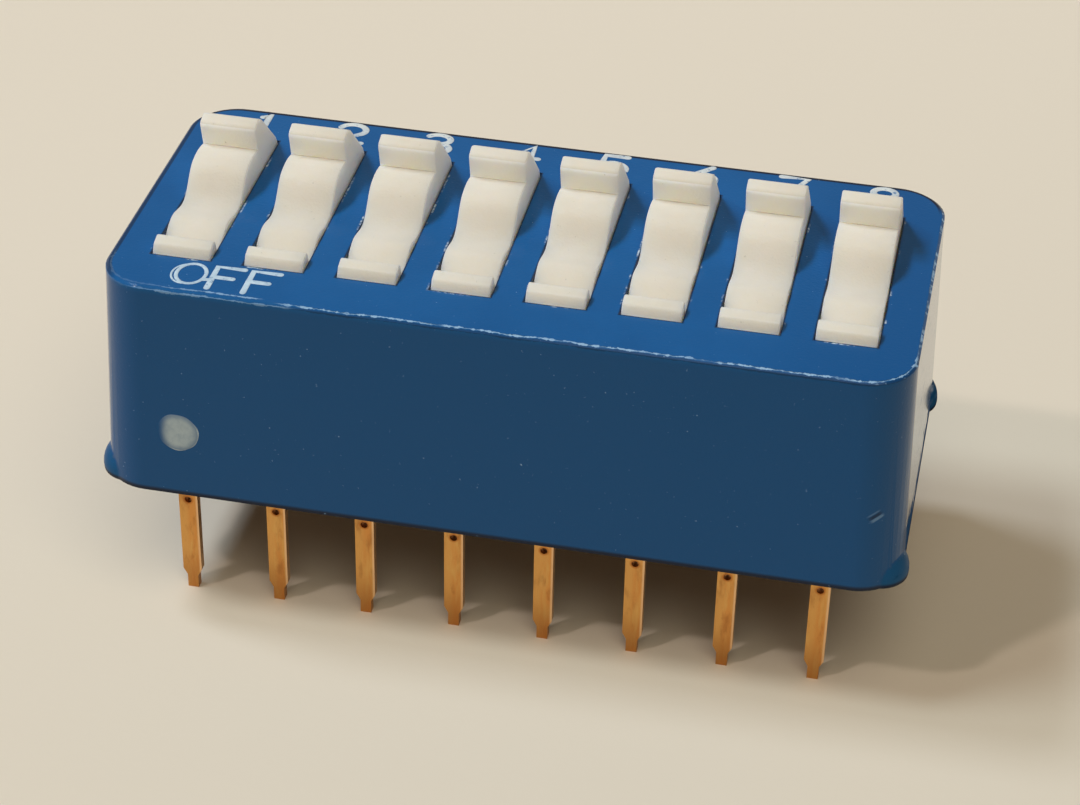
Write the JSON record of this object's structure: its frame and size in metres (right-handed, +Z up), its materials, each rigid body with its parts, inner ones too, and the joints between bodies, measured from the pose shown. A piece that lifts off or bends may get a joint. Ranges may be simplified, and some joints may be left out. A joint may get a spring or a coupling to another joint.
{
  "type": "dip switch",
  "caption": "Small blue switch block with a row of white tilting rockers, each opening or closing one circuit between two rows of solder pins.",
  "frame": {"origin": "midway between the two pin rows, on the plane of the pin tips", "axes": "+X along the row of poles from pole 1 to pole 8, +Y towards the ON side, +Z up away from the circuit board"},
  "size_m": [0.0224, 0.0102, 0.0124],
  "materials": {
    "housing": "satin moulded plastic, worn white along the top edges",
    "base": "matt filled plastic",
    "rocker": "ivory white nylon",
    "terminal": "thin gold plate over bronze, slightly tarnished",
    "contact": "gold plated",
    "spring": "drawn spring wire"
  },
  "bodies": {
    "case": {"housing": "housing", "base": "base", "front_terminal_1": "terminal", "front_terminal_2": "terminal", "front_terminal_3": "terminal", "front_terminal_4": "terminal", "front_terminal_5": "terminal", "front_terminal_6": "terminal", "front_terminal_7": "terminal", "front_terminal_8": "terminal", "rear_terminal_1": "terminal", "rear_terminal_2": "terminal", "rear_terminal_3": "terminal", "rear_terminal_4": "terminal", "rear_terminal_5": "terminal", "rear_terminal_6": "terminal", "rear_terminal_7": "terminal", "rear_terminal_8": "terminal"},
    "rocker_1": {"rocker_1": "rocker", "spring_1": "spring", "ball_1": "contact"},
    "rocker_2": {"rocker_2": "rocker", "spring_2": "spring", "ball_2": "contact"},
    "rocker_3": {"rocker_3": "rocker", "spring_3": "spring", "ball_3": "contact"},
    "rocker_4": {"rocker_4": "rocker", "spring_4": "spring", "ball_4": "contact"},
    "rocker_5": {"rocker_5": "rocker", "spring_5": "spring", "ball_5": "contact"},
    "rocker_6": {"rocker_6": "rocker", "spring_6": "spring", "ball_6": "contact"},
    "rocker_7": {"rocker_7": "rocker", "spring_7": "spring", "ball_7": "contact"},
    "rocker_8": {"rocker_8": "rocker", "spring_8": "spring", "ball_8": "contact"}
  },
  "joints": [
    {"name": "rocker_1_tilt", "type": "hinge", "parent": "case", "child": "rocker_1", "pos_m": [-0.00889, 0, 0.0091], "axis": [-1, 0, 0], "range_deg": [0, 34]},
    {"name": "rocker_2_tilt", "type": "hinge", "parent": "case", "child": "rocker_2", "pos_m": [-0.00635, 0, 0.0091], "axis": [-1, 0, 0], "range_deg": [0, 34]},
    {"name": "rocker_3_tilt", "type": "hinge", "parent": "case", "child": "rocker_3", "pos_m": [-0.00381, 0, 0.0091], "axis": [-1, 0, 0], "range_deg": [0, 34]},
    {"name": "rocker_4_tilt", "type": "hinge", "parent": "case", "child": "rocker_4", "pos_m": [-0.00127, 0, 0.0091], "axis": [-1, 0, 0], "range_deg": [0, 34]},
    {"name": "rocker_5_tilt", "type": "hinge", "parent": "case", "child": "rocker_5", "pos_m": [0.00127, 0, 0.0091], "axis": [-1, 0, 0], "range_deg": [0, 34]},
    {"name": "rocker_6_tilt", "type": "hinge", "parent": "case", "child": "rocker_6", "pos_m": [0.00381, 0, 0.0091], "axis": [-1, 0, 0], "range_deg": [0, 34]},
    {"name": "rocker_7_tilt", "type": "hinge", "parent": "case", "child": "rocker_7", "pos_m": [0.00635, 0, 0.0091], "axis": [-1, 0, 0], "range_deg": [0, 34]},
    {"name": "rocker_8_tilt", "type": "hinge", "parent": "case", "child": "rocker_8", "pos_m": [0.00889, 0, 0.0091], "axis": [-1, 0, 0], "range_deg": [0, 34]}
  ]
}
